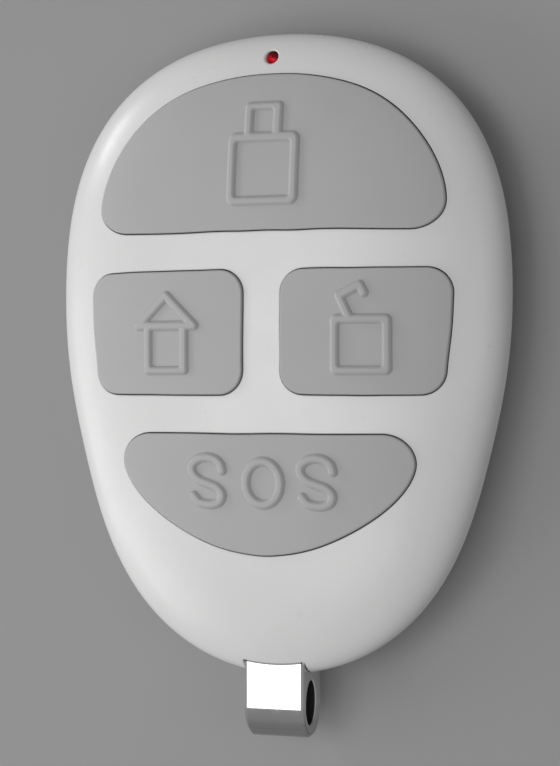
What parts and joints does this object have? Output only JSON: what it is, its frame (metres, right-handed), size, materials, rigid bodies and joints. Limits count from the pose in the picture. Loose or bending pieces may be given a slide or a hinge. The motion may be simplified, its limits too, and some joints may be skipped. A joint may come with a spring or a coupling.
{
  "type": "wireless remote control",
  "caption": "Egg-shaped pocket alarm remote: white two-shell case, grey keys with raised marks, lamp hole and plated key-ring lug.",
  "frame": {"origin": "middle of the overall box, at the resting flat of the rear shell", "axes": "+Z out of the keys, +Y towards the lamp and the broad end, -Y towards the lug, +X to the right with the keys facing the reader"},
  "size_m": [0.0426, 0.064, 0.0116],
  "materials": {
    "white_case": "white ABS, smooth satin gloss",
    "grey_key": "mid-grey ABS, fine matte texture",
    "plated_lug": "bright nickel-chrome plate on die-cast zinc",
    "red_lamp": "clear red acrylic",
    "black_plastic": "black moulded plastic",
    "bright_steel": "nickel-plated or stainless sheet",
    "dark_screw": "zinc-plated steel",
    "board": "glass-epoxy board with green solder mask",
    "tan_ceramic": "tan ceramic",
    "copper": "enamelled copper wire"
  },
  "bodies": {
    "case": {"front_shell": "white_case", "rear_shell": "white_case", "switch_arm_body": "black_plastic", "switch_arm_cover": "bright_steel", "switch_home_body": "black_plastic", "switch_home_cover": "bright_steel", "switch_disarm_body": "black_plastic", "switch_disarm_cover": "bright_steel", "switch_sos_body": "black_plastic", "switch_sos_cover": "bright_steel", "switch_terminals": "bright_steel", "switch_domes": "bright_steel", "ring_lug": "plated_lug", "case_screws": "dark_screw", "circuit_board": "board", "led_chip": "red_lamp", "led_caps": "bright_steel", "light_pipe": "red_lamp", "encoder_chip": "black_plastic", "chip_leads": "bright_steel", "saw_resonator": "bright_steel", "rf_transistor": "black_plastic", "smd_resistors": "black_plastic", "smd_capacitors": "tan_ceramic", "aerial_coil": "copper", "coin_cell": "bright_steel", "battery_clip_positive": "bright_steel", "battery_contact_negative": "bright_steel"},
    "arm_key": {"key_arm": "grey_key", "switch_arm_plunger": "black_plastic"},
    "home_key": {"key_home": "grey_key", "switch_home_plunger": "black_plastic"},
    "disarm_key": {"key_disarm": "grey_key", "switch_disarm_plunger": "black_plastic"},
    "sos_key": {"key_sos": "grey_key", "switch_sos_plunger": "black_plastic"}
  },
  "joints": [
    {"name": "arm_press", "type": "slide", "parent": "case", "child": "arm_key", "axis": [0, 0, -1], "range_m": [0, 0.0003], "stiffness_N_per_m": 3000},
    {"name": "home_press", "type": "slide", "parent": "case", "child": "home_key", "axis": [0, 0, -1], "range_m": [0, 0.0003], "stiffness_N_per_m": 3000},
    {"name": "disarm_press", "type": "slide", "parent": "case", "child": "disarm_key", "axis": [0, 0, -1], "range_m": [0, 0.0003], "stiffness_N_per_m": 3000},
    {"name": "sos_press", "type": "slide", "parent": "case", "child": "sos_key", "axis": [0, 0, -1], "range_m": [0, 0.0003], "stiffness_N_per_m": 3000}
  ]
}
